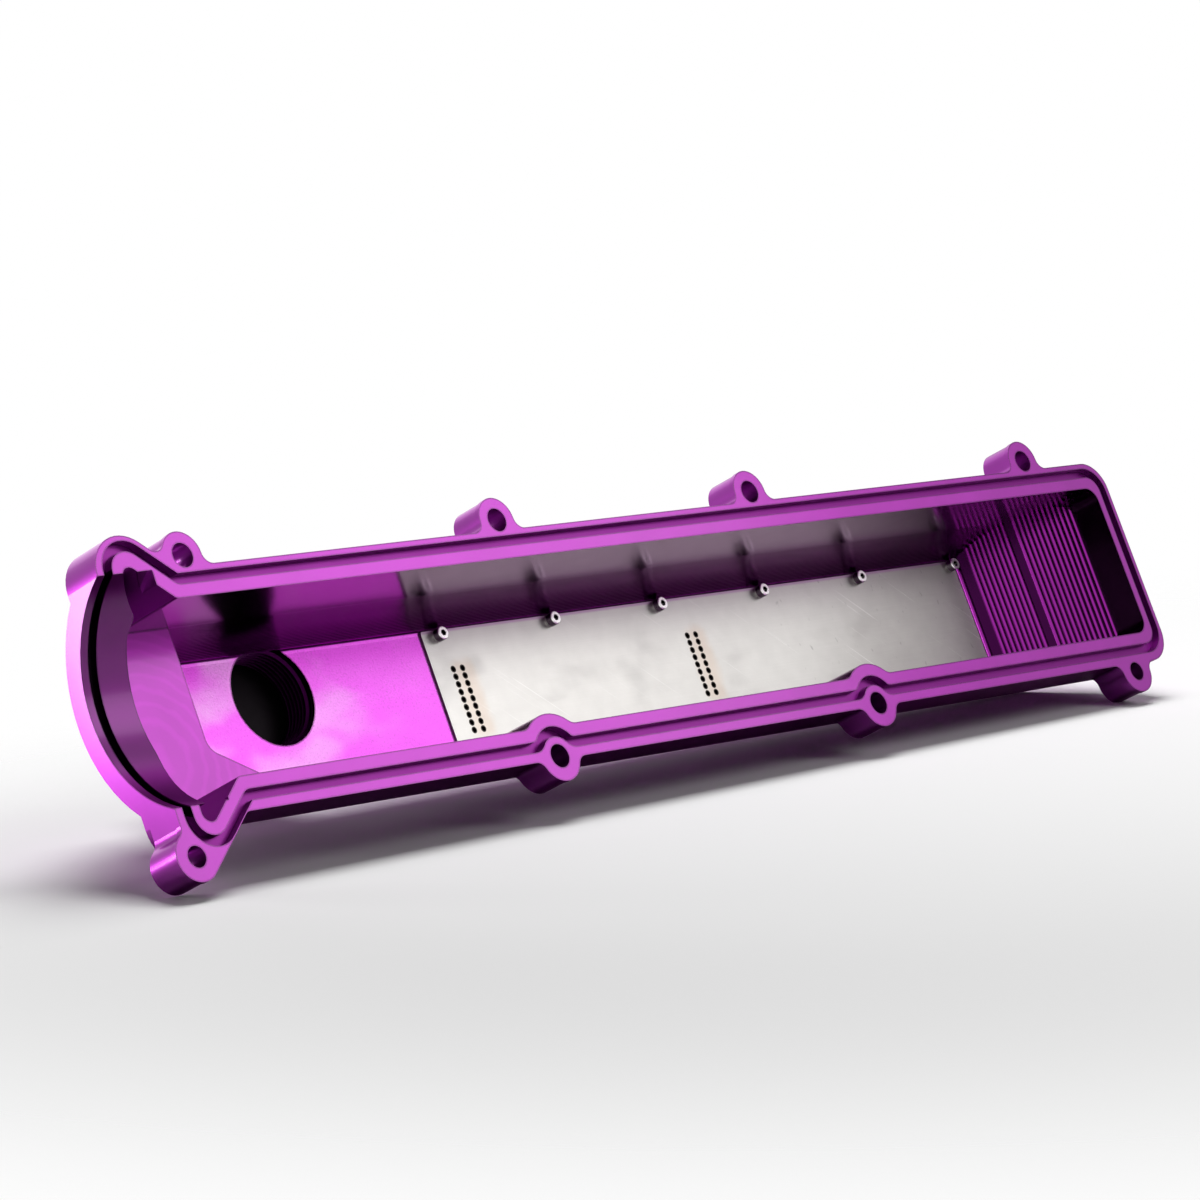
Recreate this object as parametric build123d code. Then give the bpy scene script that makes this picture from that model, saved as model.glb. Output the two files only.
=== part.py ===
from build123d import *
import math
import os

os.makedirs("parts", exist_ok=True)

# Billet cover for the camshaft side of a straight six. Millimetres, +Z up.
# x runs from the front face of the arch to the rear end.
# y runs across the cover, from the outer edge of the upper rail to the lower rail.
# z = 0 is the gasket face. At the end every piece is moved by one step, so that the
# origin lies on the gasket face, under the middle of the cover's box.

# Flange and the lands beside its gasket groove
rail_span = 94.3
rear_end = 594.8
flange_height = 18.0
groove_width = 4.1
groove_depth = 3.6
upper_land = 2.4
lower_land = 4.1
rear_land = 2.1
front_land = 3.6
inner_land = 5.3
rear_inner_land = 3.6
outer_corner_radius = 13.0
groove_corner_radius = 9.5
opening_corner_radius = 6.5

# Flares at the front, where the rails spread round the arch
upper_flare_angle = 39.4
lower_flare_angle = 40.7
upper_flare_start = 37.9
upper_groove_bend = 37.1
lower_groove_bend = 36.6
upper_opening_bend = 33.6
lower_opening_bend = 34.4
bend_radius = 3.0
shoulder_radius = 15.0
groove_tip_radius = 10.0
opening_tip_radius = 3.7
opening_tip_front = 11.9

# Half-round arch over the seal at the front
arch_radius = 50.0
arch_across = 44.5
arch_drop = 23.0
arch_wall = 8.0
arch_band = 22.3
bore_overrun = 4.0
nose_length = 8.0
nose_growth_angle = 37.0
nose_skin = 4.5
cone_overrun = 20.0

# Rear edge of the arch band, seen from the gasket side: along is from the front face,
# aside is from the arch's middle line
band_start_along = 9.5
band_start_aside = 47.5
band_toe = 2.7
band_toe_aside = 32.2
band_toe_radius = 2.0
band_upper_aside = 26.5
band_upper_radius = 6.0
band_lower_aside = 17.5
band_lower_radius = 20.0
band_lower_lead = 6.8
band_tip_radius = 1.0

# Ears: bolt holes are given as (along, across). Insets are from the rear end, reaches are
# from the outer edge of the rail, and a reach inwards is negative.
ear_height = 15.5
ear_lip = 2.2
ear_lip_step = 0.35
upper_ear_places = (43.1, 208.2, 358.6)
upper_ear_inset = 52.5
upper_ear_reach = 4.3
sunk_ear_places = (197.8, 390.5)
sunk_ear_reach = -1.4
front_ear_place = 3.1
front_ear_reach = 13.2
rear_ear_inset = 27.9
rear_ear_reach = 3.6
upper_ear_radius = 9.3
sunk_ear_radius = 10.3
end_ear_radius = 9.6
ear_hole_radius = 4.75
end_hole_radius = 4.1
ear_blend_radius = 4.6
spotface_radius = 8.0
jog_radius = 10.0
jog_blend_radius = 5.0
opening_blend_radius = 6.0

# Inside of the cover
roof_depth = 60.0
roof_fillet = 2.5
cove_radius = 40.0
platform_depth = 36.0
platform_end = 58.5
platform_corner_inset = 20.8
platform_corner_angle = 29.8
platform_corner_radius = 7.0
ramp_foot_inset = 46.8
ramp_top_depth = 15.0
scallop_pitch = 2.3
scallop_depth = 0.42
scallop_starts = (0.0, 6.6, 30.6)
scallop_counts = (1, 9, 12)

# Outside of the cover
wall = 5.9
roof_wall = 10.0
crown_height = roof_depth + roof_wall
crown_edge_radius = 22.0
step_height = 44.0
step_end = 47.0
slope_end = 62.0
ramp_skin = 7.0

# Oil filler
filler_place = (121.3, 36.8)
filler_thread_radius = 20.3
filler_neck_radius = 27.0
filler_neck_height = 12.0
filler_neck_chamfer = 1.5

# Screw cap of the oil filler, with the seal under its rim
cap_plug_radius = 18.5
cap_plug_length = 8.0
cap_plug_chamfer = 1.0
cap_rim_radius = 26.0
cap_rim_height = 9.0
cap_edge_radius = 1.2
cap_dish_radius = 16.0
cap_dish_depth = 1.5
grip_count = 12
grip_radius = 5.0
grip_depth = 1.6
seal_inner_radius = 20.6
seal_outer_radius = 24.0
seal_thickness = 1.5

# Baffle plate, its pocket and the breather chamber over it
plate_start = 209.0
plate_rear_gap = 0.5
plate_tuck = 0.3
plate_thickness = 1.5
plate_corner_radius = 1.0
plate_gap = 0.3
slit_width = 1.7
chamber_depth = 5.0
chamber_margin = 8.5
chamber_corner_radius = 6.0
breather_inset = 120.0
breather_radius = 9.5
breather_boss_radius = 16.0
breather_boss_height = 5.0

# Drain holes in the plate: two groups of two rows
drain_group_insets = (11.1, 151.3)
drain_row_gap = 5.25
drain_inset = 16.9
drain_pitch = 3.25
drain_count = 9
drain_radius = 1.0

# Screws and lock washers that hold the plate
screw_count = 6
screw_front_inset = 8.4
screw_rear_inset = 3.6
screw_inset = 2.5
screw_radius = 1.5
screw_length = 6.0
screw_clearance = 0.25
tap_clearance = 0.12
head_radius = 2.75
head_height = 3.2
head_chamfer = 0.3
socket_width = 2.5
socket_depth = 1.8
washer_radius = 2.7
washer_thickness = 1.0
washer_split = 0.7
tapped_depth = 4.8

# Lines that several pieces share, worked out from the sizes above
upper_ears = [(place, -upper_ear_reach) for place in upper_ear_places]
upper_ears.append((rear_end - upper_ear_inset, -upper_ear_reach))
sunk_ears = [(place, rail_span + sunk_ear_reach) for place in sunk_ear_places]
front_ear = (front_ear_place, rail_span + front_ear_reach)
rear_ear = (rear_end - rear_ear_inset, rail_span + rear_ear_reach)
half_groove = groove_width / 2
groove_upper = upper_land + half_groove
groove_lower = rail_span - lower_land - half_groove
groove_rear = rear_end - rear_land - half_groove
groove_front = front_land + half_groove
cavity_upper = groove_upper + half_groove + inner_land
cavity_lower = groove_lower - half_groove - inner_land
cavity_rear = groove_rear - half_groove - rear_inner_land
ramp_foot = rear_end - ramp_foot_inset
plate_end = ramp_foot - plate_rear_gap
cove_drop = roof_depth - platform_depth
cove_lean = cove_radius - math.sqrt(cove_radius ** 2 - cove_drop ** 2)
plate_upper = cavity_upper + cove_lean - plate_tuck
plate_lower = cavity_lower - cove_lean + plate_tuck
plate_top = roof_depth + plate_thickness
screw_rows = (plate_upper + screw_inset, plate_lower - screw_inset)
screw_first = plate_start + screw_front_inset
screw_pitch = (plate_end - screw_rear_inset - screw_first) / (screw_count - 1)
middle_across = (cavity_upper + cavity_lower) / 2
under_head = roof_depth - washer_thickness
neck_top = crown_height + filler_neck_height
cap_seat = neck_top + seal_thickness
cap_top = cap_seat + cap_rim_height
upper_slope = math.tan(math.radians(upper_flare_angle))
lower_slope = math.tan(math.radians(lower_flare_angle))
wide = rail_span * 2
past = 1.0


def outline(corners):
    """A closed face from (x, y, corner radius) points."""
    points = [(x, y) for x, y, radius in corners]
    radii = [radius for x, y, radius in corners]
    return make_face(FilletPolyline(*points, radius=radii, close=True))


def column(face, low, high):
    """The face pulled straight up from one height to another."""
    return extrude(Pos(0, 0, low) * face, high - low, dir=(0, 0, 1))


def rod_x(radius, start, end):
    """A round bar along the cover, on the axis of the arch."""
    bar = Cylinder(radius, end - start, rotation=(0, 90, 0))
    return Pos((start + end) / 2, arch_across, -arch_drop) * bar


def rod_z(radius, low, high, along, across):
    """A round bar square to the gasket face."""
    return Pos(along, across, (low + high) / 2) * Cylinder(radius, high - low)


def block(x0, x1, y0, y1, z0, z1):
    """A plain block between two corners."""
    middle = Pos((x0 + x1) / 2, (y0 + y1) / 2, (z0 + z1) / 2)
    return middle * Box(x1 - x0, y1 - y0, z1 - z0)


def side_prism(face):
    """A side view, drawn as (along, height), pulled through the whole width."""
    return extrude(Plane.XZ * face, wide, both=True)


def flared_outline(front, upper, lower, rear, upper_bend, lower_bend, tip_radius, rear_radius):
    """The long flange shape with its two flares."""
    upper_tip = upper - (upper_bend - front) * upper_slope
    lower_tip = lower + (lower_bend - front) * lower_slope
    return outline([
        (rear, lower, rear_radius),
        (lower_bend, lower, bend_radius),
        (front, lower_tip, tip_radius),
        (front, upper_tip, tip_radius),
        (upper_bend, upper, bend_radius),
        (rear, upper, rear_radius),
    ])


def jogged(face, line, radius, blend):
    """Set a face back round the two sunk ears, with soft corners."""
    corners = []
    for along, across in sunk_ears:
        face -= Pos(along, across) * Circle(radius)
        half = math.sqrt(radius ** 2 - (across - line) ** 2)
        corners += [(along - half, line), (along + half, line)]
    sharp = []
    for vertex in face.vertices():
        if min(math.dist((vertex.X, vertex.Y), corner) for corner in corners) < 0.1:
            sharp.append(vertex)
    return fillet(sharp, blend)


def groove_middle():
    """Face inside the middle line of the gasket groove, with a jog round each sunk ear."""
    face = flared_outline(groove_front, groove_upper, groove_lower, groove_rear,
                          upper_groove_bend, lower_groove_bend, groove_tip_radius,
                          groove_corner_radius)
    return jogged(face, groove_lower, jog_radius, jog_blend_radius)


def plain_opening():
    """Opening of the cover without the jogs and before the arch closes its front."""
    return flared_outline(opening_tip_front, cavity_upper, cavity_lower, cavity_rear,
                          upper_opening_bend, lower_opening_bend, opening_tip_radius,
                          opening_corner_radius)


def opening():
    """Edge of the inner land: jogs round the sunk ears and the arch band in front."""
    face = jogged(plain_opening(), cavity_lower, jog_radius + half_groove + inner_land,
                  opening_blend_radius)
    upper_side = arch_across - band_start_aside
    lower_side = arch_across + math.sqrt(arch_radius ** 2 - arch_drop ** 2)
    return face - outline([
        (-past, upper_side, 0),
        (band_start_along, upper_side, 0),
        (arch_band + band_toe, arch_across - band_toe_aside, band_toe_radius),
        (arch_band, arch_across - band_upper_aside, band_upper_radius),
        (arch_band, arch_across + band_lower_aside, band_lower_radius),
        (arch_band - band_lower_lead, lower_side, band_tip_radius),
        (-past, lower_side, 0),
    ])


def flare_touch(radius):
    """Where the line of the lower flare touches a circle round the front ear's hole."""
    turn = math.radians(lower_flare_angle)
    return front_ear[0] + radius * math.sin(turn), front_ear[1] + radius * math.cos(turn)


def flange_face(shrink=0.0):
    """Flange with its eight ears. The lower flare runs out along the front ear's side."""
    touch = flare_touch(end_ear_radius - shrink)
    full_touch = flare_touch(end_ear_radius)
    lower_bend = full_touch[0] + (full_touch[1] - rail_span) / lower_slope
    upper_tip = -upper_flare_start * upper_slope
    face = outline([
        (rear_end, rail_span, outer_corner_radius),
        (lower_bend, rail_span, bend_radius),
        (touch[0], touch[1], 0),
        (front_ear[0], front_ear[1], 0),
        (0, front_ear[1], 0),
        (0, upper_tip, shoulder_radius),
        (upper_flare_start, 0, 0),
        (rear_end, 0, outer_corner_radius),
    ])
    discs = [(place, upper_ear_radius) for place in upper_ears]
    discs += [(place, sunk_ear_radius) for place in sunk_ears]
    discs += [(front_ear, end_ear_radius), (rear_ear, end_ear_radius)]
    for place, radius in discs:
        face += Pos(*place) * Circle(radius - shrink)
    inward = []
    for vertex in face.vertices():
        spot = (vertex.X, vertex.Y)
        on_disc = min(abs(math.dist(spot, place) - radius + shrink) for place, radius in discs)
        if on_disc < 0.01 and math.dist(spot, touch) > 1.0:
            inward.append(vertex)
    return fillet(inward, ear_blend_radius)


def nose_limit(skin):
    """What the front may fill: a round lip that widens to the rear, less a skin."""
    lip_radius = arch_radius + arch_wall - skin
    cone_length = slope_end + cone_overrun
    cone_end = nose_length + cone_length
    wide_radius = lip_radius + cone_length * math.tan(math.radians(nose_growth_angle))
    cone = Cone(lip_radius, wide_radius, cone_length, rotation=(0, 90, 0))
    cone = Pos(nose_length + cone_length / 2, arch_across, -arch_drop) * cone
    rest = block(cone_end, rear_end + past, -wide, wide, -past, crown_height + past)
    return rod_x(lip_radius, -past, nose_length) + cone + rest


def ramp_line():
    """The ramp seen from the side: foot, top, the way along it and the way into the metal."""
    foot = Vector(ramp_foot, roof_depth)
    top = Vector(cavity_rear, ramp_top_depth)
    along = (top - foot).normalized()
    return foot, top, along, Vector(-along.Y, along.X)


def ramp_profile():
    """Side view of the metal left behind the scalloped ramp at the rear."""
    foot, top, along, into = ramp_line()
    above = foot - along * roof_fillet * 2
    edges = []
    reached = above
    for start, count in zip(scallop_starts, scallop_counts):
        for step in range(count):
            first = foot + along * (start + step * scallop_pitch)
            last = first + along * scallop_pitch
            if (first - reached).length > 0.01:
                edges.append(Line(reached, first))
            edges.append(ThreePointArc(first, (first + last) * 0.5 + into * scallop_depth, last))
            reached = last
    if (top - reached).length > 0.01:
        edges.append(Line(reached, top))
        reached = top
    edges.append(Polyline(reached, (rear_end, reached.Y), (rear_end, above.Y), above))
    return make_face(edges)


def trough():
    """The inside seen from the end: upright walls, then coves that run into the roof."""
    half_lean = cove_radius - math.sqrt(cove_radius ** 2 - (cove_drop / 2) ** 2)
    half_way = platform_depth + cove_drop / 2
    section = make_face([
        Polyline((cavity_upper, platform_depth), (cavity_upper, -past),
                 (cavity_lower, -past), (cavity_lower, platform_depth)),
        ThreePointArc((cavity_lower, platform_depth), (cavity_lower - half_lean, half_way),
                      (cavity_lower - cove_lean, roof_depth)),
        Line((cavity_lower - cove_lean, roof_depth), (cavity_upper + cove_lean, roof_depth)),
        ThreePointArc((cavity_upper + cove_lean, roof_depth),
                      (cavity_upper + half_lean, half_way), (cavity_upper, platform_depth)),
    ])
    hollow = extrude(Plane.YZ * section, rear_end, dir=(1, 0, 0))
    return fillet(hollow.edges().filter_by(Axis.X).group_by(Axis.Z)[-1], roof_fillet)


def cavity():
    """The hollow inside of the cover, as one solid to cut away."""
    plan = opening()
    run = platform_corner_inset / math.tan(math.radians(platform_corner_angle))
    deep_plan = outline([
        (platform_end, cavity_upper - past, 0),
        (platform_end, cavity_lower - platform_corner_inset, platform_corner_radius),
        (platform_end + run, cavity_lower, 0),
        (platform_end + run, cavity_lower + past, 0),
        (rear_end, cavity_lower + past, 0),
        (rear_end, cavity_upper - past, 0),
    ])
    hollow = column(plan, -past, platform_depth)
    hollow += column(plan & deep_plan, -past, roof_depth) & trough()
    return (hollow - side_prism(ramp_profile())) & nose_limit(nose_skin)


def crown():
    """Walls and top of the cover: a low block over the arch, a long box, a sloped rear."""
    foot, top, along, into = ramp_line()
    low = top + into * ramp_skin
    rear_top = low.X - (crown_height - low.Y) * (top.X - foot.X) / (foot.Y - top.Y)
    side = make_face(Polyline((0, 0), (0, step_height), (step_end, step_height),
                              (slope_end, crown_height), (rear_top, crown_height),
                              (low.X, low.Y), (low.X, 0), close=True))
    box = column(offset(plain_opening(), wall), 0, crown_height) & side_prism(side)
    top_edges = box.edges().filter_by(Axis.X).group_by(Axis.Z)[-1]
    return fillet(top_edges, crown_edge_radius) & nose_limit(0)


def shell():
    """The outside of the cover before anything is cut from it."""
    foot_print = flange_face()
    flange = flared_outline(0, 0, rail_span, rear_end, upper_flare_start, lower_opening_bend,
                            shoulder_radius, outer_corner_radius)
    low = column(foot_print, 0, ear_lip) + column(flange_face(ear_lip_step), 0, ear_height)
    low += column(flange & foot_print, 0, flange_height)
    nose_plan = flange & Pos(nose_length / 2, arch_across) * Rectangle(nose_length, wide)
    nose = column(nose_plan, 0, crown_height) & nose_limit(0)
    neck = rod_z(filler_neck_radius, roof_depth + past, neck_top, *filler_place)
    neck = chamfer(neck.edges().group_by(Axis.Z)[-1], filler_neck_chamfer)
    boss = rod_z(breather_boss_radius, plate_top + chamber_depth,
                 crown_height + breather_boss_height, rear_end - breather_inset, middle_across)
    return low + crown() + nose + neck + boss


def groove_cutter():
    """The gasket groove: flat along the rails and bent over the arch."""
    middle = groove_middle()
    ring = offset(middle, half_groove) - offset(middle, -half_groove)
    tall = column(ring, -past, arch_radius)
    flat = block(-past, rear_end, -wide, wide, -past, groove_depth)
    bent = rod_x(arch_radius + groove_depth, -past, groove_front + groove_tip_radius)
    return tall & (flat + bent)


def at_screws(maker):
    """One piece at each screw of the two rows."""
    pieces = []
    for across in screw_rows:
        for number in range(screw_count):
            pieces.append(maker(screw_first + number * screw_pitch, across))
    return pieces


def baffle_cuts():
    """Pocket for the plate, the chamber over it and the tapped holes of its screws."""
    pocket = block(plate_start - slit_width, plate_end + plate_gap, plate_upper - plate_gap,
                   plate_lower + plate_gap, roof_depth - past, plate_top)
    chamber = block(plate_start + chamber_margin, plate_end - chamber_margin,
                    plate_upper + chamber_margin, plate_lower - chamber_margin,
                    roof_depth, plate_top + chamber_depth)
    chamber = fillet(chamber.edges().filter_by(Axis.Z), chamber_corner_radius)
    tapped = at_screws(lambda along, across: rod_z(
        screw_radius + tap_clearance, roof_depth, plate_top + tapped_depth, along, across))
    return [pocket, chamber] + tapped


def cover_body():
    """The whole machined cover, one piece."""
    cuts = [cavity(), rod_x(arch_radius, -past, arch_band + bore_overrun), groove_cutter()]
    cuts += baffle_cuts()
    clear_top = flange_height + past
    for place in upper_ears + sunk_ears + [front_ear, rear_ear]:
        bore = end_hole_radius if place in (front_ear, rear_ear) else ear_hole_radius
        cuts.append(rod_z(bore, -past, clear_top, *place))
        cuts.append(rod_z(spotface_radius, ear_height, clear_top, *place))
    over_neck = neck_top + past
    cuts.append(rod_z(filler_thread_radius, roof_depth - past, over_neck, *filler_place))
    cuts.append(rod_z(breather_radius, plate_top, over_neck, rear_end - breather_inset,
                      middle_across))
    body = shell()
    for cut in cuts:
        body -= cut
    return body


def baffle_plate():
    """Sheet steel plate with its drain holes and screw holes."""
    plate = block(plate_start, plate_end, plate_upper, plate_lower, roof_depth, plate_top)
    plate = fillet(plate.edges().filter_by(Axis.Z), plate_corner_radius)
    holes = at_screws(lambda along, across: rod_z(
        screw_radius + screw_clearance, roof_depth - past, plate_top + past, along, across))
    for group in drain_group_insets:
        first_row = plate_start + group
        for along in (first_row, first_row + drain_row_gap):
            for number in range(drain_count):
                across = plate_upper + drain_inset + number * drain_pitch
                holes.append(rod_z(drain_radius, roof_depth - past, plate_top + past,
                                   along, across))
    return plate - holes


def cap_screw(along, across):
    """One socket head screw, its head towards the gasket face."""
    face = under_head - head_height
    head = rod_z(head_radius, face, under_head, along, across)
    head = chamfer(head.edges().group_by(Axis.Z)[0], head_chamfer)
    shank = rod_z(screw_radius, under_head, under_head + screw_length, along, across)
    hexagon = RegularPolygon(socket_width / 2, 6, major_radius=False)
    return head + shank - column(Pos(along, across) * hexagon, face, face + socket_depth)


def lock_washer(along, across):
    """One split ring between a screw head and the plate."""
    ring = rod_z(washer_radius, under_head, roof_depth, along, across)
    ring -= rod_z(screw_radius + screw_clearance, under_head, roof_depth, along, across)
    return ring - block(along, along + washer_radius, across - washer_split / 2,
                        across + washer_split / 2, under_head, roof_depth)


def filler_cap():
    """Screw cap: a rim with finger scallops, dished on top, over a plug in the neck."""
    rim = rod_z(cap_rim_radius, cap_seat, cap_top, *filler_place)
    reach = cap_rim_radius + grip_radius - grip_depth
    for number in range(grip_count):
        turn = 2 * math.pi * number / grip_count
        rim -= rod_z(grip_radius, cap_seat - past, cap_top + past,
                     filler_place[0] + reach * math.cos(turn),
                     filler_place[1] + reach * math.sin(turn))
    rim = fillet(rim.edges().group_by(Axis.Z)[-1], cap_edge_radius)
    rim -= rod_z(cap_dish_radius, cap_top - cap_dish_depth, cap_top + past, *filler_place)
    plug = rod_z(cap_plug_radius, neck_top - cap_plug_length, cap_seat + past, *filler_place)
    return rim + chamfer(plug.edges().group_by(Axis.Z)[0], cap_plug_chamfer)


def filler_seal():
    """Flat rubber ring between the neck and the rim of the cap."""
    ring = rod_z(seal_outer_radius, neck_top, cap_seat, *filler_place)
    return ring - rod_z(seal_inner_radius, neck_top, cap_seat, *filler_place)


pieces = {
    "cover_body": cover_body(),
    "baffle_plate": baffle_plate(),
    "baffle_screws": Compound([screw.solid() for screw in at_screws(cap_screw)]),
    "lock_washers": Compound([washer.solid() for washer in at_screws(lock_washer)]),
    "filler_cap": filler_cap(),
    "filler_seal": filler_seal(),
}

# One move puts the origin under the middle of the cover's box
box = pieces["cover_body"].bounding_box()
to_origin = Pos(-box.center().X, -box.center().Y, 0)
print("moved by", to_origin.position)
for name, piece in pieces.items():
    export_step(to_origin * piece, f"parts/{name}.step")
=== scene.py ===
import math

import bpy
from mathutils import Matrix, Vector


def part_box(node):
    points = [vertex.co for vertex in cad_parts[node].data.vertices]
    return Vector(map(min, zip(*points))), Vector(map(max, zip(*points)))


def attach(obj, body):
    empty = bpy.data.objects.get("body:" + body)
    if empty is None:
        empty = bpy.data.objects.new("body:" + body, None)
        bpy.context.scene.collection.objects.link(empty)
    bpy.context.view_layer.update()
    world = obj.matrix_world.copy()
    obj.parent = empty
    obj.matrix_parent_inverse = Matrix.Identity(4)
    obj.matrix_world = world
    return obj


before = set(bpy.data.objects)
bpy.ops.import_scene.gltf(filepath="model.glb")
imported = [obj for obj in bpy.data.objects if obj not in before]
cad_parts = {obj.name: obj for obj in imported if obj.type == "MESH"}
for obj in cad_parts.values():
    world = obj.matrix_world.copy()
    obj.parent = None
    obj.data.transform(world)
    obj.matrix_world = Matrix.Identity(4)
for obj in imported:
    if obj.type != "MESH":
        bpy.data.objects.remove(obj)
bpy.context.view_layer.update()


# Cover body. The real one is milled from one aluminium billet and anodised purple. The gasket
# face is faced smooth, the roof is left grainy, and the walls keep the cutter's long lines.
class Finish:
    """A finish, built up from shader nodes. Places and sizes are in millimetres."""

    def __init__(self, name):
        self.material = bpy.data.materials.new(name)
        self.material.use_nodes = True
        self.tree = self.material.node_tree
        self.metal = self.tree.nodes["Principled BSDF"]
        self.metal.inputs["Metallic"].default_value = 1.0
        metres = self.node("ShaderNodeTexCoord").outputs["Object"]
        scaled = self.node("ShaderNodeVectorMath", {0: metres, "Scale": 1000.0}, operation="SCALE")
        self.place = scaled.outputs[0]
        self.along, self.across, self.up = self.split(self.place)
        self.facing = self.node("ShaderNodeNewGeometry").outputs["Normal"]
        self.facing_along, self.facing_across, self.facing_up = self.split(self.facing)

    def node(self, kind, inputs=None, **settings):
        """One node, its inputs given as values or as other nodes' outputs."""
        made = self.tree.nodes.new(kind)
        for name, value in settings.items():
            setattr(made, name, value)
        for name, value in (inputs or {}).items():
            if isinstance(value, bpy.types.NodeSocket):
                self.tree.links.new(value, made.inputs[name])
            else:
                made.inputs[name].default_value = value
        return made

    def split(self, vector):
        """The three parts of a vector."""
        return self.node("ShaderNodeSeparateXYZ", {0: vector}).outputs[:]

    def sum(self, operation, *values):
        """One sum on numbers, such as ADD or MULTIPLY."""
        return self.node("ShaderNodeMath", dict(enumerate(values)), operation=operation).outputs[0]

    def off(self, value, middle):
        """How far a value lies past a middle, below 0 on its near side."""
        return self.sum("SUBTRACT", value, middle)

    def off_nearest(self, value, first, pitch):
        """How far a value lies past the nearest of an even row that holds first."""
        nearest = self.sum("WRAP", value, first + pitch / 2, first - pitch / 2)
        return self.off(nearest, first)

    def from_both(self, first, second):
        """The straight distance that two offsets at right angles make up."""
        squares = [self.sum("MULTIPLY", offset, offset) for offset in (first, second)]
        return self.sum("SQRT", self.sum("ADD", *squares))

    def rise(self, value, low, high):
        """0 up to low and 1 from high on, with a smooth step between them."""
        sizes = {"Value": value, "From Min": low, "From Max": high}
        made = self.node("ShaderNodeMapRange", sizes, interpolation_type="SMOOTHSTEP")
        return made.outputs["Result"]

    def between(self, value, low, high, soft=0.2):
        """1 between two values, 0 outside them."""
        return self.sum("MULTIPLY", self.rise(value, low - soft, low),
                        self.rise(value, high + soft, high))

    def all_of(self, *shares):
        """Where every one of the shares holds."""
        held = shares[0]
        for share in shares[1:]:
            held = self.sum("MULTIPLY", held, share)
        return held

    def none_of(self, share):
        """Where a share doesn't hold."""
        return self.sum("SUBTRACT", 1.0, share)

    def noise(self, size, stretch=(1, 1, 1), detail=2.0, rough=0.5):
        """Cloudy noise of about one size, drawn out by stretch."""
        drawn = self.node("ShaderNodeVectorMath", {0: self.place, 1: [1 / s for s in stretch]},
                          operation="MULTIPLY").outputs[0]
        inputs = {"Vector": drawn, "Scale": 1 / size, "Detail": detail, "Roughness": rough}
        return self.node("ShaderNodeTexNoise", inputs).outputs[0]

    def mix(self, share, first, second):
        """Two colours mixed."""
        made = self.node("ShaderNodeMix", {0: share, 6: first, 7: second}, data_type="RGBA")
        return made.outputs[2]

    def level(self, share, first, second):
        """Two numbers mixed."""
        made = self.node("ShaderNodeMix", {0: share, 2: first, 3: second}, data_type="FLOAT")
        return made.outputs[0]

    def shade(self, colour, amount):
        """A colour made lighter or darker by a number."""
        made = self.node("ShaderNodeVectorMath", {0: colour, "Scale": amount}, operation="SCALE")
        return made.outputs[0]

    def relief(self, height, depth, under=None):
        """Bumps of a depth in millimetres, over the ones laid before."""
        inputs = {"Height": height, "Distance": depth / 1000, "Strength": 1.0}
        if under is not None:
            inputs["Normal"] = under
        return self.node("ShaderNodeBump", inputs).outputs[0]

    def close(self, colour, roughness, normal):
        """Join colour, roughness and bumps to the shader."""
        self.tree.links.new(colour, self.metal.inputs["Base Color"])
        self.tree.links.new(roughness, self.metal.inputs["Roughness"])
        self.tree.links.new(normal, self.metal.inputs["Normal"])
        return self.material


def dress(node, material):
    """Give a piece of the frame its finish."""
    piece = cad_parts[node]
    for slot in piece.material_slots:
        slot.material = material
    if not piece.material_slots:
        piece.data.materials.append(material)


# places on the cover in its own frame, in millimetres
inner_upper = -39.55
inner_lower = 29.45
inner_front = -270.5
inner_rear = 291.2
roof = 60.0
shelf = 36.0
ramp_start = 252.0
arch_axis_across = -6.85
arch_axis_up = -23.0
arch_bore = 50.0
groove_depth = 3.6
arch_groove_start = -290.65
arch_groove_end = -286.30
filler_along = -172.85
filler_across = -14.55

satin_violet = (0.255, 0.018, 0.265, 1)
# painted light: the roof's purple, painted brighter as if lit from above
lit_roof_magenta = (1.0, 0.13, 1.0, 1)
# painted highlight on the roof's pale patches
highlight_pink = (1.0, 0.50, 1.0, 1)
shelf_purple = (0.31, 0.022, 0.32, 1)
# painted shade: the inside walls, painted darker than the outside
shaded_inside_purple = (0.085, 0.002, 0.088, 1)
# painted shade on the ramp between its crests
shaded_ramp_purple = (0.040, 0.001, 0.043, 1)
# painted highlight on the ramp's crests and at the coves' foot
highlight_magenta = (0.30, 0.020, 0.31, 1)
# painted shade: the groove floors, and the arch's groove in black
shaded_groove_purple = (0.150, 0.014, 0.155, 1)
arch_groove_shade_black = (0.014, 0.0006, 0.015, 1)
# painted shade in dark lines along the edges
edge_shade_purple = (0.045, 0.002, 0.048, 1)
# painted shade on the lower side face
shaded_skirt_purple = (0.085, 0.004, 0.090, 1)
bore_purple = (0.115, 0.006, 0.120, 1)
# painted shade in the filler's bore
throat_shade_black = (0.010, 0.0005, 0.011, 1)
outside_violet = (0.26, 0.020, 0.28, 1)
# painted shade on the rear wall inside
rear_wall_shade_black = (0.022, 0.002, 0.024, 1)
grazing_grey = (0.88, 0.66, 0.86, 1)
# painted shade in the lower side face's sheen
shaded_grazing_tint = (0.42, 0.26, 0.42, 1)

billet = Finish("purple_anodised_billet")
billet.metal.inputs["Coat Roughness"].default_value = 0.16
billet.metal.inputs["Coat IOR"].default_value = 1.55

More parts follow.
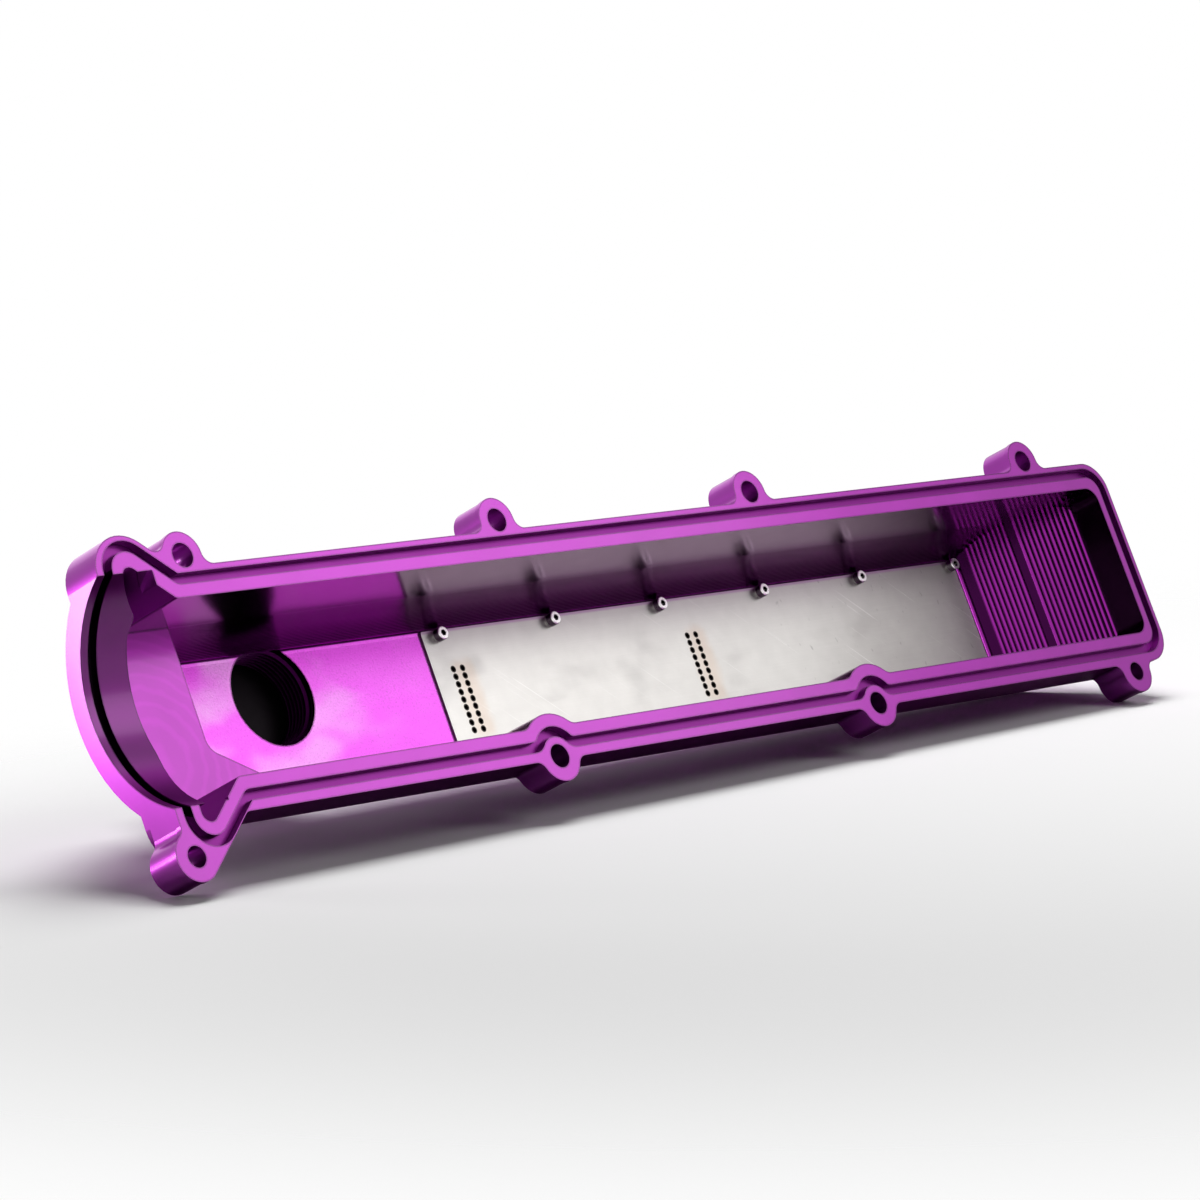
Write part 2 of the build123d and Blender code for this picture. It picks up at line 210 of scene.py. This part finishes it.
# where each face begins and where it is full
face_margin = 0.3
facing_down = (-0.8, -0.93)
facing_front = (-0.8, -0.95)
facing_lower_side = (0.75, 0.95)
not_facing_up = (0.3, 0.1)
above_gasket_face = (0.05, 0.4)
at_gasket_face = (0.12, 0.04)
below_plate_seat = (roof + 1.4, roof + 0.9)
at_roof = (roof - 1.6, roof - 0.2)
on_arch_side = (inner_front + 1.0, inner_front)
past_ramp_start = (ramp_start, ramp_start + 1.5)
at_rear_wall = (inner_rear - 1.2, inner_rear - 0.6)
below_flange_back = (24.0, 20.0)
past_lower_wall = (inner_lower + 6.0, inner_lower + 9.0)

down = billet.rise(billet.facing_up, *facing_down)
inside = billet.all_of(
    billet.between(billet.across, inner_upper - face_margin, inner_lower + face_margin),
    billet.between(billet.along, inner_front, inner_rear),
    billet.rise(billet.up, *below_plate_seat),
    billet.rise(billet.facing_up, *not_facing_up),
    billet.rise(billet.up, *above_gasket_face))
on_face = billet.all_of(billet.rise(billet.up, *at_gasket_face), down)
on_roof = billet.all_of(inside, billet.rise(billet.up, *at_roof), down)
on_shelf = billet.all_of(
    inside, down, billet.between(billet.up, shelf - face_margin, shelf + face_margin))
from_arch_axis = billet.from_both(billet.off(billet.across, arch_axis_across),
                                  billet.off(billet.up, arch_axis_up))
on_bore = billet.all_of(
    billet.between(from_arch_axis, arch_bore - face_margin, arch_bore + face_margin),
    billet.rise(billet.along, *on_arch_side))
on_ramp = billet.all_of(inside, billet.rise(billet.along, *past_ramp_start))
on_rear = billet.all_of(inside, billet.rise(billet.along, *at_rear_wall),
                        billet.rise(billet.facing_along, *facing_front))
on_groove = billet.all_of(
    down, billet.between(billet.up, groove_depth - face_margin, groove_depth + face_margin))
in_arch_groove = billet.all_of(
    billet.between(from_arch_axis, arch_bore + face_margin,
                   arch_bore + groove_depth + face_margin),
    billet.between(billet.along, arch_groove_start, arch_groove_end, soft=0.1))
on_skirt = billet.all_of(billet.rise(billet.facing_across, *facing_lower_side),
                         billet.rise(billet.up, *below_flange_back),
                         billet.rise(billet.across, *past_lower_wall))

# painted shade in dark lines on the sharp edges of faces that look down,
# found where a rounded edge would turn away
edge_reach_metres = 0.0012
edge_turn = (0.995, 0.94)
rounded = billet.node("ShaderNodeBevel", {"Radius": edge_reach_metres}, samples=4).outputs[0]
turn = billet.node("ShaderNodeVectorMath", {0: billet.facing, 1: rounded}, operation="DOT_PRODUCT")
edge_shade_line = billet.all_of(billet.rise(turn.outputs["Value"], *edge_turn), down)

# the crests between the ramp's scallops, painted bright as highlights, and the ramp
# between them painted dark as shade
ramp_foot = 253.85
ramp_slope_along = 0.635
ramp_slope_up = 0.772
scallop_pitch = 2.3
scallop_groups = ((0.0, 2.3), (6.6, 27.3), (30.6, 58.2))
crest_start = 0.65
crest_end = 1.15
up_ramp = billet.sum(
    "ADD", billet.sum("MULTIPLY", billet.off(billet.along, ramp_foot), ramp_slope_along),
    billet.sum("MULTIPLY", billet.sum("SUBTRACT", roof, billet.up), ramp_slope_up))
crest_highlight = 0.0
for group_start, group_end in scallop_groups:
    past_scallop = billet.sum("WRAP", billet.off(up_ramp, group_start), scallop_pitch, 0.0)
    crest = billet.all_of(billet.between(past_scallop, crest_start, crest_end, soft=0.45),
                          billet.between(up_ramp, group_start, group_end, soft=0.1))
    crest_highlight = billet.sum("MAXIMUM", crest_highlight, crest)

# the filler's bore above the roof, painted near black as shade
throat_wall = (20.7, 20.5)
above_roof = (roof + 0.05, roof + 0.4)
from_filler = billet.from_both(billet.off(billet.along, filler_along),
                               billet.off(billet.across, filler_across))
in_throat = billet.all_of(billet.rise(from_filler, *throat_wall),
                          billet.rise(billet.up, *above_roof))

# the cutter's passes round both coves, and a thin painted highlight line at their foot
cove_radius = 40.0
pass_pitch = 0.8
above_shelf = 1.0
below_roof = 1.5
foot_start = 1.25
foot_end = 0.45
leaning_face = (-0.9, -0.75)
before_ramp = (ramp_start + 4.0, ramp_start)
before_ramp_start = (ramp_start + 1.0, ramp_start)
past_shelf = billet.off(billet.up, shelf)
upper_arc = billet.sum("ARCTAN2", past_shelf,
                       billet.sum("SUBTRACT", inner_upper + cove_radius, billet.across))
lower_arc = billet.sum("ARCTAN2", past_shelf,
                       billet.off(billet.across, inner_lower - cove_radius))
in_upper_half = billet.sum("LESS_THAN", billet.across, (inner_upper + inner_lower) / 2)
arc = billet.level(in_upper_half, lower_arc, upper_arc)
passes = billet.sum("SINE", billet.sum("MULTIPLY", arc, 2 * math.pi * cove_radius / pass_pitch))
on_cove = billet.all_of(
    inside, billet.between(billet.up, shelf + above_shelf, roof - below_roof, soft=1.0),
    billet.rise(billet.along, *before_ramp))
# painted highlight along the coves' foot
cove_foot = billet.all_of(
    inside, billet.between(billet.up, roof - foot_start, roof - foot_end),
    billet.rise(billet.facing_up, *leaning_face), billet.rise(billet.along, *before_ramp_start))

# unevenness of the anodising, the marks of the tools, and a painted highlight in pale
# patches on the roof toward the filler
clouds = billet.noise(38.0, detail=3.0)
haze = billet.noise(9.0, detail=2.0)
grain = billet.noise(0.95, detail=3.0, rough=0.8)
fine = billet.noise(0.22, detail=1.0)
long_lines = billet.noise(0.5, stretch=(90, 1, 1), detail=3.0, rough=0.65)
cross_lines = billet.noise(0.6, stretch=(1, 60, 60), detail=2.0)
# painted highlight: pale patches on the roof toward the filler
highlight_share = (0.46, 0.70)
toward_filler = (-80.0, -170.0)
highlight_strength = 0.70
roof_highlight = billet.rise(billet.noise(24.0, stretch=(1.8, 1, 1), detail=2.0), *highlight_share)
roof_highlight = billet.all_of(roof_highlight, billet.rise(billet.along, *toward_filler), highlight_strength)
swirl_middle = (-262.0, 10.0, 0.0)
swirl_turn = 1.9
swirl_wander = 5.0
from_swirl = billet.node("ShaderNodeVectorMath", {0: billet.place, 1: swirl_middle},
                         operation="DISTANCE").outputs["Value"]
swirls = billet.sum("SINE", billet.sum("ADD", billet.sum("MULTIPLY", from_swirl, swirl_turn),
                                       billet.level(haze, 0.0, swirl_wander)))

# The inside walls, ramp, rear wall, grooves, lower side face, edges and filler bore are painted
# darker as shade; the roof is painted lighter as lit, and its pale patches, the ramp's crests and
# the coves' foot are painted highlights.
colour = billet.mix(inside, outside_violet, shaded_inside_purple)
for where, paint in ((on_groove, shaded_groove_purple), (in_arch_groove, arch_groove_shade_black),
                     (on_skirt, shaded_skirt_purple),
                     (on_ramp, billet.mix(crest_highlight, shaded_ramp_purple, highlight_magenta)),
                     (on_rear, rear_wall_shade_black), (on_bore, bore_purple), (on_shelf, shelf_purple),
                     (on_roof, billet.mix(roof_highlight, lit_roof_magenta, highlight_pink)),
                     (on_face, satin_violet), (edge_shade_line, edge_shade_purple),
                     (in_throat, throat_shade_black), (cove_foot, highlight_magenta)):
    colour = billet.mix(where, colour, paint)
cloud_tones = (0.86, 1.12)
haze_tones = (0.95, 1.05)
speckle_tones = (0.60, 1.45)
swirl_tones = (1.0, 1.10)
pass_tones = (1.0, 1.35)
tone = billet.sum("MULTIPLY", billet.level(clouds, *cloud_tones),
                  billet.level(haze, *haze_tones))
for where, marks, tones in ((on_roof, grain, speckle_tones), (on_shelf, swirls, swirl_tones),
                            (on_cove, passes, pass_tones)):
    marked = billet.level(marks, *tones)
    tone = billet.sum("MULTIPLY", tone, billet.level(where, 1.0, marked))
colour = billet.shade(colour, tone)

outside_rough = 0.34
wall_rough = 0.16
rough_spread = (-0.03, 0.04)
roughness = billet.level(inside, outside_rough, wall_rough)
for where, rough in ((on_ramp, 0.22), (on_shelf, 0.40), (on_roof, 0.55), (on_face, 0.32)):
    roughness = billet.level(where, roughness, rough)
roughness = billet.sum("ADD", roughness, billet.level(haze, *rough_spread))

walls = billet.all_of(inside, billet.none_of(on_roof), billet.none_of(on_ramp))
bumps = None
for where, marks, depth in ((on_roof, grain, 0.16), (walls, long_lines, 0.008),
                            (on_cove, passes, 0.022), (on_shelf, swirls, 0.004),
                            (on_face, fine, 0.008), (billet.none_of(inside), cross_lines, 0.008)):
    bumps = billet.relief(billet.sum("MULTIPLY", where, marks), depth, bumps)

plain_gloss = 0.42
roof_gloss = 0.28
cove_gloss = 0.10
dull_gloss = 0.05
gloss = billet.level(on_roof, plain_gloss, roof_gloss)
gloss = billet.level(on_cove, gloss, cove_gloss)
for where in (on_ramp, on_rear, on_skirt, on_groove, in_throat):
    gloss = billet.level(where, gloss, dull_gloss)
billet.tree.links.new(gloss, billet.metal.inputs["Coat Weight"])

# painted shade: the lower side face's sheen is darkened, fading out toward the rear end
skirt_shade_fade = (280.0, 60.0)
skirt_sheen_shade = billet.all_of(on_skirt, billet.rise(billet.along, *skirt_shade_fade))
grazing = billet.mix(skirt_sheen_shade, grazing_grey, shaded_grazing_tint)
billet.tree.links.new(grazing, billet.metal.inputs["Specular Tint"])
dress("cover_body", billet.close(colour, roughness, bumps))


# Oil filler's thread. On the real cover it is cut into the bore for the cap, so it is the
# same purple metal. Here it is one long ridge that stands on the bore's wall.
# Its purple is painted near black as shade inside the bore.
root_radius = 20.3
crest_radius = 18.85
root_bite = 0.4
thread_pitch = 2.1
thread_low = 60.6
thread_high = 81.5
ridge_foot = 0.44 * thread_pitch
ridge_top = 0.10 * thread_pitch
steps_per_turn = 72
run_out_steps = 20
lowest_crest = 0.05
millimetre = 0.001
# painted shade: the thread's purple, near black as inside the bore
shaded_thread_purple = (0.030, 0.001, 0.032)
thread_tones = (0.7, 1.3)
thread_roughs = (0.30, 0.42)
thread_mark_depth = 0.01

steps = int(((thread_high - thread_low) / thread_pitch - 1) * steps_per_turn)
corners = []
for step in range(steps + 1):
    angle = 2 * math.pi * step / steps_per_turn
    height = thread_low + thread_pitch * (0.5 + step / steps_per_turn)
    run_out = max(min(1.0, step / run_out_steps, (steps - step) / run_out_steps), lowest_crest)
    root = root_radius + root_bite
    crest = root_radius - (root_radius - crest_radius) * run_out
    for radius, offset in ((root, -ridge_foot), (crest, -ridge_top),
                           (crest, ridge_top), (root, ridge_foot)):
        corners.append((millimetre * (filler_along + radius * math.cos(angle)),
                        millimetre * (filler_across + radius * math.sin(angle)),
                        millimetre * (height + offset)))
sides = []
for step in range(steps):
    first = 4 * step
    for side in range(4):
        following = (side + 1) % 4
        sides.append((first + side, first + following, first + 4 + following, first + 4 + side))
sides.append((3, 2, 1, 0))
sides.append(tuple(4 * steps + side for side in range(4)))
ridge_mesh = bpy.data.meshes.new("filler_thread")
ridge_mesh.from_pydata(corners, [], sides)

turned = Finish("cut_filler_thread")
turned_rough = turned.level(turned.noise(0.8), *thread_roughs)
turned_colour = turned.shade(shaded_thread_purple, turned.level(turned.noise(3.0), *thread_tones))
turned_bumps = turned.relief(turned.noise(0.3), thread_mark_depth)
ridge_mesh.materials.append(turned.close(turned_colour, turned_rough, turned_bumps))
filler_thread = bpy.data.objects.new("filler_thread", ridge_mesh)
bpy.context.scene.collection.objects.link(filler_thread)
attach(filler_thread, "root")


# Baffle plate. The real one is rolled sheet steel, drilled for the oil to drain and screwed
# flush into the roof. It is dull, smudged with oil and tinted brown round the drain holes.
# Its rear end is painted darker as shade, each drain hole has a black rim of painted shade,
# and a painted reflection of the wall lies along its upper edge.
plate_upper = 1000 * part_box("baffle_plate")[0].y
drain_middles = (-71.425, 68.775)
drain_across = -1.951
drain_half_length = 13.0
drain_pitch = 3.25
row_half_gap = 2.625
tint_reach = 6.0
tint_shift = 3.0
tint_ragged = 2.5
tint_strength = 0.38
hole_shade_full = 1.32
hole_shade_end = 1.57

sheet_grey = (0.545, 0.53, 0.512, 1)
oil_grey = (0.50, 0.485, 0.47, 1)
# painted shade toward the rear end
rear_shade_grey = (0.40, 0.38, 0.37, 1)
heat_brown = (0.52, 0.38, 0.28, 1)
speck_grey = (0.30, 0.29, 0.28, 1)
# painted shade round the drain holes
hole_shade_black = (0.030, 0.027, 0.025, 1)
scratch_white = (0.82, 0.81, 0.80, 1)
# painted reflection of the wall
mirrored_violet = (0.40, 0.20, 0.40, 1)

sheet = Finish("rolled_baffle_sheet")
rolled = sheet.noise(0.5, stretch=(70, 1, 1), detail=3.0, rough=0.6)
blotches = sheet.noise(7.0, detail=3.0)

# oil smudges, painted shade that darkens the rear end, and specks there
smudge_share = (0.52, 0.74)
smudges = sheet.rise(sheet.noise(26.0, stretch=(1.6, 1, 1), detail=3.0), *smudge_share)
rear_shade_lean = 0.7
rear_shade_smudge = 18.0
rear_shade_end = (118.0, 205.0)
rear_shade = sheet.sum("ADD", sheet.along, sheet.sum("MULTIPLY", sheet.across, rear_shade_lean))
rear_shade = sheet.rise(sheet.sum("ADD", rear_shade, sheet.level(smudges, 0.0, rear_shade_smudge)), *rear_shade_end)
speck_share = (0.70, 0.76)
speck_end = (95.0, 150.0)
speck_strength = 0.7
specks = sheet.rise(sheet.noise(2.4, stretch=(1, 2.2, 1), detail=1.0), *speck_share)
specks = sheet.all_of(specks, sheet.rise(sheet.along, *speck_end), speck_strength)

# heat tint round each group of drain holes, and a black rim of painted shade round each
# hole that widens its dark opening
tint = 0.0
row_distance = 100.0
for middle in drain_middles:
    past_rows = sheet.off(sheet.sum("ABSOLUTE", sheet.off(sheet.along, middle + tint_shift)),
                          row_half_gap)
    past_ends = sheet.off(sheet.sum("ABSOLUTE", sheet.off(sheet.across, drain_across)),
                          drain_half_length)
    reach = sheet.from_both(sheet.sum("MAXIMUM", past_rows, 0.0),
                            sheet.sum("MAXIMUM", past_ends, 0.0))
    ragged = sheet.sum("ADD", reach, sheet.level(blotches, -tint_ragged, tint_ragged))
    tint = sheet.sum("MAXIMUM", tint, sheet.rise(ragged, tint_reach, 0.0))
    for row in (middle - row_half_gap, middle + row_half_gap):
        row_distance = sheet.sum("MINIMUM", row_distance,
                                 sheet.sum("ABSOLUTE", sheet.off(sheet.along, row)))
first_drain = drain_across - drain_half_length
last_drain = drain_across + drain_half_length
from_drain = sheet.from_both(row_distance,
                             sheet.off_nearest(sheet.across, first_drain, drain_pitch))
hole_shade = sheet.all_of(
    sheet.rise(from_drain, hole_shade_end, hole_shade_full),
    sheet.between(sheet.across, first_drain - hole_shade_end, last_drain + hole_shade_end))

# long scratches that lean across the plate
scratch_lean = 0.9
scratch_stretch = (2.2, 0.018, 1.0)
scratch_share = (0.70, 0.76)
scratch_strength = 0.5
leaning = sheet.node("ShaderNodeVectorRotate", {0: sheet.place, "Angle": scratch_lean},
                     rotation_type="Z_AXIS")
drawn_out = sheet.node("ShaderNodeVectorMath", {0: leaning.outputs[0], 1: scratch_stretch},
                       operation="MULTIPLY")
scratches = sheet.node("ShaderNodeTexNoise",
                       {"Vector": drawn_out.outputs[0], "Scale": 1.0, "Detail": 1.0})
scratches = sheet.all_of(sheet.rise(scratches.outputs[0], *scratch_share), scratch_strength)

# a painted reflection: the thin violet mirror of the wall along the upper edge
at_upper_edge = (plate_upper + 1.6, plate_upper + 0.5)
edge_strength = 0.7
upper_edge = sheet.all_of(sheet.rise(sheet.across, *at_upper_edge), edge_strength)

sheet_colour = sheet.mix(smudges, sheet_grey, oil_grey)
for where, paint in ((rear_shade, rear_shade_grey), (specks, speck_grey),
                     (sheet.all_of(tint, tint_strength), heat_brown), (hole_shade, hole_shade_black),
                     (scratches, scratch_white), (upper_edge, mirrored_violet)):
    sheet_colour = sheet.mix(where, sheet_colour, paint)
sheet_tones = (0.93, 1.06)
smudge_roughs = (0.40, 0.46)
rolled_roughs = (-0.05, 0.05)
rolled_depth = 0.006
sheet_tone = sheet.all_of(sheet.level(blotches, *sheet_tones), sheet.level(rolled, *sheet_tones))
sheet_colour = sheet.shade(sheet_colour, sheet_tone)
sheet_rough = sheet.sum("ADD", sheet.level(smudges, *smudge_roughs),
                        sheet.level(rolled, *rolled_roughs))
sheet_bumps = sheet.relief(rolled, rolled_depth)
dress("baffle_plate", sheet.close(sheet_colour, sheet_rough, sheet_bumps))


# Baffle screws. Steel cap screws in two rows, plated bright with zinc and turned tight on the
# plate. Their sockets are painted dark as shade, and the sides of their heads are painted
# dark as shade with a violet reflection.
screw_bright = (0.95, 0.94, 0.92, 1)
# painted shade in the sockets
socket_shade_dark = (0.06, 0.055, 0.05, 1)
# painted shade with a violet reflection on the heads' sides
side_shade_violet = (0.12, 0.085, 0.12, 1)
first_screw = -76.75
screw_pitch = 65.26
rows_middle = -5.05
rows_half_gap = 24.3
head_face = 55.8
below_face = (head_face + 0.06, head_face + 0.5)
down_side = (head_face + 0.25, head_face + 0.5)
socket_wall = (1.50, 1.42)
head_wall = (2.4, 2.6)
screw_tones = (0.85, 1.1)
screw_roughs = (0.22, 0.36)
screw_mark_depth = 0.004

zinc = Finish("plated_cap_screw")
off_row = zinc.off(zinc.sum("ABSOLUTE", zinc.off(zinc.across, rows_middle)), rows_half_gap)
off_screw = zinc.from_both(zinc.off_nearest(zinc.along, first_screw, screw_pitch), off_row)
in_socket = zinc.all_of(zinc.rise(zinc.up, *below_face), zinc.rise(off_screw, *socket_wall))
shaded_head_side = zinc.all_of(zinc.rise(zinc.up, *down_side), zinc.rise(off_screw, *head_wall))
zinc_colour = zinc.mix(shaded_head_side, screw_bright, side_shade_violet)
zinc_colour = zinc.mix(in_socket, zinc_colour, socket_shade_dark)
zinc_colour = zinc.shade(zinc_colour, zinc.level(zinc.noise(1.2), *screw_tones))
zinc_rough = zinc.level(zinc.noise(0.6, detail=3.0), *screw_roughs)
zinc_bumps = zinc.relief(zinc.noise(0.25), screw_mark_depth)
dress("baffle_screws", zinc.close(zinc_colour, zinc_rough, zinc_bumps))


# Lock washers. Rings of spring steel, split at one side and left dull. Each is squeezed flat
# between a screw's head and the plate.
washer_grey = (0.42, 0.41, 0.40)
washer_tones = (0.75, 1.15)
washer_roughs = (0.38, 0.55)
washer_mark_depth = 0.004

spring = Finish("dull_spring_washer")
spring_colour = spring.shade(washer_grey, spring.level(spring.noise(0.8), *washer_tones))
spring_rough = spring.level(spring.noise(0.5, detail=3.0), *washer_roughs)
spring_bumps = spring.relief(spring.noise(0.2), washer_mark_depth)
dress("lock_washers", spring.close(spring_colour, spring_rough, spring_bumps))


# Filler cap. Turned from bar and anodised black, with milled finger scallops. It is screwed
# down on the neck, so its plug closes the hole in the roof and leaves it dark.
cap_black = (0.004, 0.003, 0.004)
cap_tones = (0.8, 1.25)
cap_roughs = (0.30, 0.42)
ring_turn = 12.0
ring_depth = 0.004

black = Finish("black_anodised_cap")
black_colour = black.shade(cap_black, black.level(black.noise(6.0), *cap_tones))
from_cap_axis = black.from_both(black.off(black.along, filler_along),
                                black.off(black.across, filler_across))
rings = black.sum("SINE", black.sum("MULTIPLY", from_cap_axis, ring_turn))
black_rough = black.level(black.noise(2.0), *cap_roughs)
black_bumps = black.relief(rings, ring_depth)
dress("filler_cap", black.close(black_colour, black_rough, black_bumps))


# Filler seal. A flat ring of moulded black rubber. It lies loose on the neck's end and the
# cap's rim squeezes it there.
seal_black = (0.022, 0.022, 0.022)
seal_tones = (0.7, 1.4)
seal_roughs = (0.62, 0.80)
seal_pore_depth = 0.02

rubber = Finish("moulded_seal_rubber")
rubber.metal.inputs["Metallic"].default_value = 0.0
rubber_colour = rubber.shade(seal_black, rubber.level(rubber.noise(1.5), *seal_tones))
rubber_rough = rubber.level(rubber.noise(0.8), *seal_roughs)
rubber_bumps = rubber.relief(rubber.noise(0.4), seal_pore_depth)
dress("filler_seal", rubber.close(rubber_colour, rubber_rough, rubber_bumps))


# Table and floor. The table is the pale surface that the cover's back edge lies on, seen from
# its upper side alone. The floor is the same for a view from above the cover, but fainter.
table_up = Vector((-0.0165, -0.889, -0.459)).normalized()
table_level = -0.0606
table_half = 3.0
floor_up = Vector((0, 0, 1))
floor_level = -0.0003
floor_half = 4.0
pale_reach = (720.0, 300.0)
pale_height = (300.0, 120.0)
pale = (0.90, 0.90, 0.90, 1)


def pale_sheet(name, shown, metal_sees):
    """A dull pale material, clear from below. Cameras see a share of it, metal another."""
    paint = Finish(name)
    paint.tree.nodes.remove(paint.metal)
    path = paint.node("ShaderNodeLightPath").outputs
    looked_at = paint.sum("MAXIMUM", path["Is Camera Ray"], path["Is Transmission Ray"])
    looked_at = paint.all_of(looked_at, shown, paint.rise(paint.up, *pale_height))
    mirrored = paint.all_of(path["Is Glossy Ray"], metal_sees)
    seen = paint.sum("MAXIMUM", looked_at, mirrored)
    out_from_cover = paint.node("ShaderNodeVectorMath", {0: paint.place}, operation="LENGTH")
    near_cover = paint.rise(out_from_cover.outputs["Value"], *pale_reach)
    from_below = paint.node("ShaderNodeNewGeometry").outputs["Backfacing"]
    share = paint.all_of(seen, near_cover, paint.none_of(from_below))
    dull = paint.node("ShaderNodeBsdfDiffuse", {"Color": pale}).outputs[0]
    clear = paint.node("ShaderNodeBsdfTransparent").outputs[0]
    both = paint.node("ShaderNodeMixShader", {0: share, 1: clear, 2: dull}).outputs[0]
    paint.tree.links.new(both, paint.tree.nodes["Material Output"].inputs["Surface"])
    return paint.material


def pale_plane(name, material, up, level, half):
    """A square plane that faces up."""
    side = up.orthogonal().normalized()
    ahead = up.cross(side)
    corners = [up * level + side * a * half + ahead * b * half
               for a, b in ((-1, -1), (1, -1), (1, 1), (-1, 1))]
    mesh = bpy.data.meshes.new(name)
    mesh.from_pydata(corners, [], [(0, 1, 2, 3)])
    mesh.materials.append(material)
    plane = bpy.data.objects.new(name, mesh)
    bpy.context.scene.collection.objects.link(plane)


pale_plane("table", pale_sheet("pale_table", 1.0, 1.0), table_up, table_level, table_half)
pale_plane("floor", pale_sheet("pale_floor", 0.5, 0.0), floor_up, floor_level, floor_half)


# Camera. It stands where the photograph was taken from, a little above the table, and looks
# along the cover from its arched end.
camera_place = (-1.42071, 0.33947, -1.23517)
camera_turn_degrees = (-150.7233, 41.2407, 25.8157)

camera_data = bpy.data.cameras.new("camera")
camera_data.lens = 143.43
camera_data.sensor_width = 36.0
camera = bpy.data.objects.new("camera", camera_data)
camera.location = camera_place
camera.rotation_euler = [math.radians(angle) for angle in camera_turn_degrees]
bpy.context.scene.collection.objects.link(camera)
bpy.context.scene.camera = camera


# Light. Soft square lamps over the table, at both ends, behind the cover and below the table,
# and a pale room. The room is white to the camera and in metal, and lights dull things faintly.
room_right = Vector((0.677, 0.327, -0.659))
room_back = Vector((-0.731, 0.190, -0.656))
room_light = 0.08


def soft_lamp(name, right, up, back, size, power):
    """A square lamp that looks at the cover. Back is toward the camera."""
    lamp_data = bpy.data.lights.new(name, "AREA")
    lamp_data.size = size
    lamp_data.energy = power
    lamp = bpy.data.objects.new(name, lamp_data)
    lamp.location = room_right * right + table_up * up + room_back * back
    lamp.rotation_euler = lamp.location.to_track_quat("Z", "Y").to_euler()
    bpy.context.scene.collection.objects.link(lamp)


soft_lamp("lamp_over", 0.0, 1.5, -0.50, 0.9, 23.0)
soft_lamp("lamp_right", 0.84, 0.60, -0.06, 0.5, 1.8)
soft_lamp("lamp_left", -0.60, -0.04, 0.22, 0.1, 0.60)
soft_lamp("lamp_crown", -0.9, 0.45, -1.35, 1.2, 3.5)
soft_lamp("lamp_table_side", -0.6, -1.0, -1.1, 1.2, 2.0)

world = bpy.data.worlds.new("pale_room")
bpy.context.scene.world = world
world.use_nodes = True
room = world.node_tree
air = room.nodes["Background"]
air.inputs["Color"].default_value = (1.0, 1.0, 1.0, 1.0)
path = room.nodes.new("ShaderNodeLightPath")
seen = path.outputs["Is Camera Ray"]
for ray in ("Is Glossy Ray", "Is Transmission Ray"):
    either = room.nodes.new("ShaderNodeMath")
    either.operation = "ADD"
    room.links.new(seen, either.inputs[0])
    room.links.new(path.outputs[ray], either.inputs[1])
    seen = either.outputs[0]
strength = room.nodes.new("ShaderNodeMapRange")
strength.inputs["To Min"].default_value = room_light
strength.inputs["To Max"].default_value = 1.0
room.links.new(seen, strength.inputs["Value"])
room.links.new(strength.outputs["Result"], air.inputs["Strength"])

bpy.context.scene.view_settings.view_transform = "Standard"
